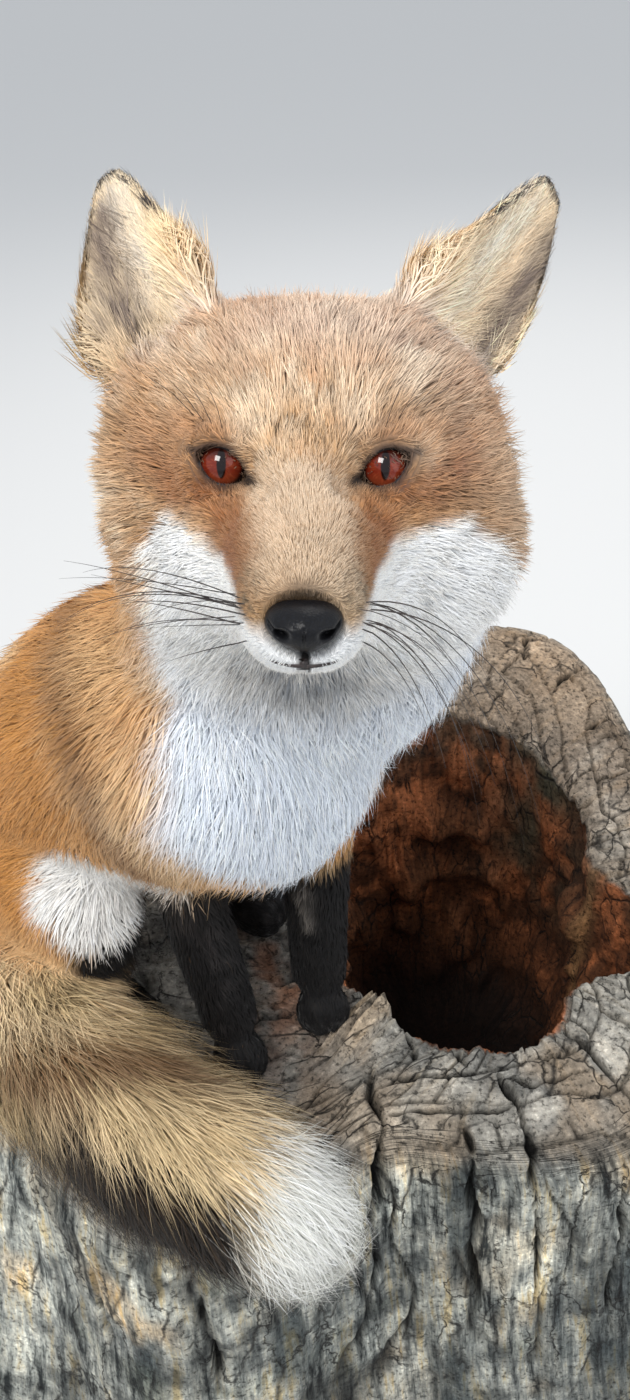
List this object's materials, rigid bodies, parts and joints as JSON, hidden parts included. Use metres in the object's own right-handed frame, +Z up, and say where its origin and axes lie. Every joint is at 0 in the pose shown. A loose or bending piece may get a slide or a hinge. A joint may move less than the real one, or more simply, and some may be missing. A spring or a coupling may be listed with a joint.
{
  "type": "taxidermy red fox on a stump",
  "caption": "Life-size museum mount of a red fox, seated on a hollow weathered stump with its tail curled round its feet and its head raised towards the viewer.",
  "frame": {"origin": "centre of the stump's flat underside", "axes": "+Z up, the fox faces -Y, +X to the fox's left"},
  "size_m": [0.6377, 0.6054, 0.7884],
  "materials": {
    "rust_fur": "long soft guard hair, rust orange",
    "face_fur": "short dense hair, tan with pale tips",
    "cream_fur": "dense cream-yellow hair with dark tips",
    "white_fur": "long soft white hair",
    "black_fur": "short black hair",
    "nose_pad": "pebbled, moist-looking black skin",
    "eye_glass": "clear-coated glass eye, amber red iris with an upright pupil",
    "weathered_wood": "grey cracked wood, tan end grain, dark red-brown rot inside",
    "whisker": "thin black whiskers"
  },
  "bodies": {
    "root": {"stump": "weathered_wood", "eye_left": "eye_glass", "eye_right": "eye_glass", "nose": "nose_pad", "head": "face_fur", "ear_left": "cream_fur", "ear_right": "cream_fur", "trunk": "rust_fur", "neck": "white_fur", "upper_foreleg_left": "rust_fur", "lower_foreleg_left": "black_fur", "forepaw_left": "black_fur", "upper_foreleg_right": "rust_fur", "lower_foreleg_right": "black_fur", "forepaw_right": "black_fur", "thigh_left": "rust_fur", "shank_left": "rust_fur", "hind_foot_left": "black_fur", "thigh_right": "rust_fur", "shank_right": "rust_fur", "hind_foot_right": "black_fur", "tail_root": "cream_fur", "tail_middle": "cream_fur", "tail_tip": "white_fur"}
  },
  "joints": []
}
